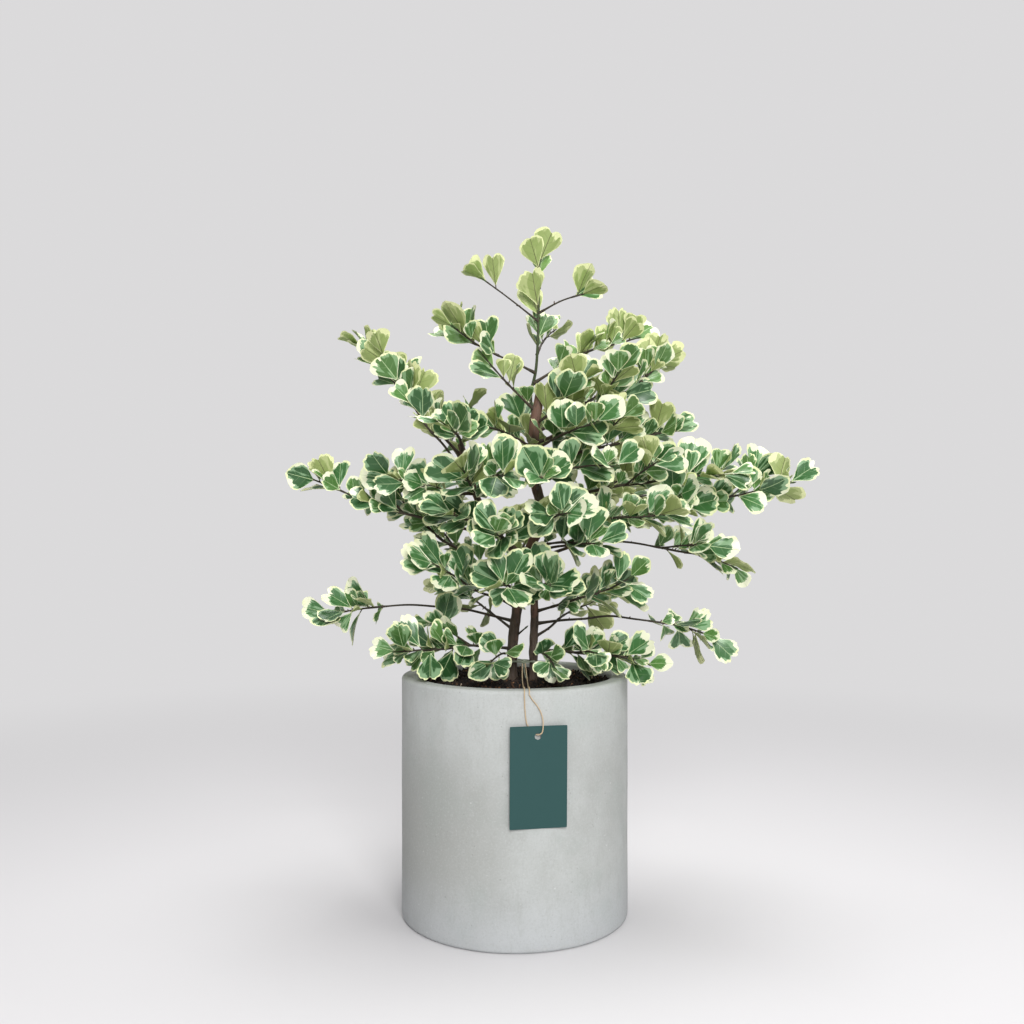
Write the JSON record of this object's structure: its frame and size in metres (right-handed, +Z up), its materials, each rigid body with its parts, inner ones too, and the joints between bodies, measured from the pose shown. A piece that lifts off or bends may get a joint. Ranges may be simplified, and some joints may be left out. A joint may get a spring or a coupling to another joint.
{
  "type": "potted rubber plant",
  "caption": "Small-leaved rubber plant with triangular cream-edged leaves on two crossing stems, in a round concrete pot with a blank card tag on twine.",
  "frame": {"origin": "centre of the pot's underside, on the surface it stands on", "axes": "+Z up the plant, -Y towards the front, where the tag hangs, and +X to the right seen from the front"},
  "size_m": [0.706, 0.413, 0.9108],
  "materials": {
    "concrete": "matte",
    "soil": "matte",
    "bark": "matte",
    "leaf": "satin",
    "card": "satin",
    "twine": "matte"
  },
  "bodies": {
    "root": {"pot": "concrete", "soil": "soil", "stem_main": "bark", "stem_second": "bark", "tag": "card", "string": "twine", "string_tie": "twine", "leader": "leaf", "spray_top_left": "leaf", "spray_top_right": "leaf", "spray_high_left": "leaf", "spray_high_right": "leaf", "spray_high_back": "leaf", "spray_shoulder_left": "leaf", "spray_shoulder_right": "leaf", "spray_upper_right": "leaf", "spray_upper_left_long": "leaf", "spray_upper_left": "leaf", "spray_rosette_left": "leaf", "spray_mid_left": "leaf", "spray_left_long": "leaf", "spray_left_rising": "leaf", "spray_left_low_mid": "leaf", "spray_left_low_arch": "leaf", "spray_left_low_fan": "leaf", "spray_front_low_left": "leaf", "spray_front_low_right": "leaf", "spray_right_low_fan": "leaf", "spray_right_low_arch": "leaf", "spray_right_low_mid": "leaf", "spray_right_drop": "leaf", "spray_right_long": "leaf", "spray_right_level": "leaf", "spray_right_mid": "leaf", "spray_front_right_mid": "leaf", "spray_front_right_low": "leaf", "spray_fan_left": "leaf", "spray_fan_right": "leaf", "spray_centre_low": "leaf", "spray_centre_left": "leaf", "spray_centre": "leaf", "spray_centre_right": "leaf", "spray_centre_high": "leaf", "spray_mid_front_left": "leaf", "spray_low_front_left": "leaf", "spray_inner_left": "leaf", "spray_inner_high": "leaf", "spray_back_low_left": "leaf", "spray_back_low_right": "leaf", "spray_back_left": "leaf", "spray_back": "leaf", "spray_back_right": "leaf", "spray_back_high_left": "leaf", "spray_back_high": "leaf", "spray_back_high_right": "leaf", "spray_stub_left": "leaf"}
  },
  "joints": []
}
